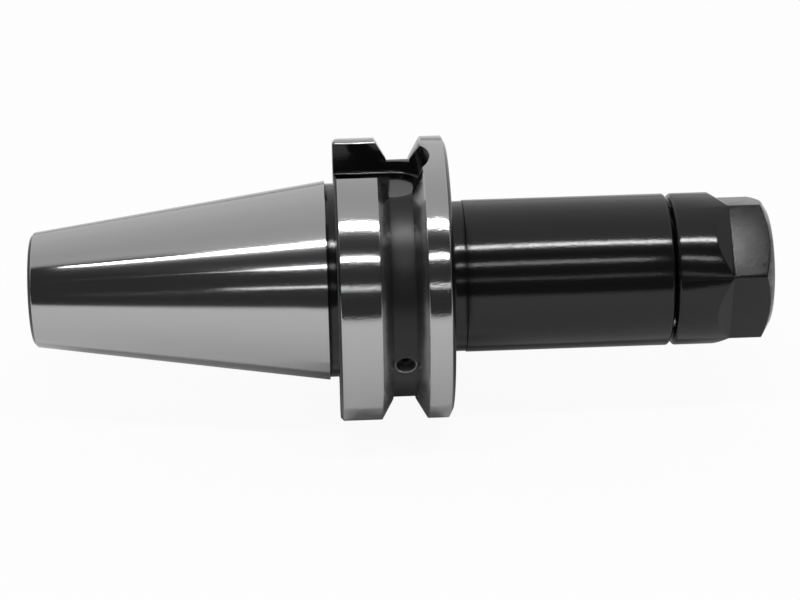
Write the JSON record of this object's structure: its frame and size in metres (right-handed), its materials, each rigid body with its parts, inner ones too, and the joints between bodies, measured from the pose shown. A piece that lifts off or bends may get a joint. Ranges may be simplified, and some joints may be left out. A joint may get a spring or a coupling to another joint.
{
  "type": "collet chuck holder",
  "caption": "Steep-taper collet chuck holder with gripper flange, drive slots, long round nose, spring collet and hexagon clamping nut.",
  "frame": {"origin": "on the axis of rotation, in the gauge plane of the taper", "axes": "+X along the axis from the shank to the clamping nut, +Z through the middle of the upper drive slot, -Y towards the side that a viewer sees"},
  "size_m": [0.1637, 0.063, 0.063],
  "materials": {
    "holder_steel": "hardened steel, black oxide with ground taper and flange rings",
    "nut_steel": "black oxide, satin",
    "collet_steel": "ground spring steel",
    "stop_screw_steel": "black oxide",
    "plug_screw_steel": "black oxide"
  },
  "bodies": {
    "holder": {"holder_body": "holder_steel", "coolant_plug_screw_front": "plug_screw_steel", "coolant_plug_screw_rear": "plug_screw_steel"},
    "collet_body": {"collet": "collet_steel"},
    "nut": {"clamping_nut": "nut_steel"},
    "stop_screw": {"length_stop_screw": "stop_screw_steel"}
  },
  "joints": [
    {"name": "collet_travel", "type": "slide", "parent": "holder", "child": "collet_body", "axis": [1, 0, 0], "range_m": [0, 0.0105]},
    {"name": "nut_turn", "type": "hinge", "parent": "collet_body", "child": "nut", "pos_m": [0.0875, 0, 0], "axis": [1, 0, 0], "range_deg": [0, 2520]},
    {"name": "stop_screw_travel", "type": "slide", "parent": "holder", "child": "stop_screw", "axis": [1, 0, 0], "range_m": [-0.007, 0.004]}
  ],
  "couplings": [
    {"joint": "nut_turn", "follows": "collet_travel", "rad_per_m": 4188.8}
  ]
}
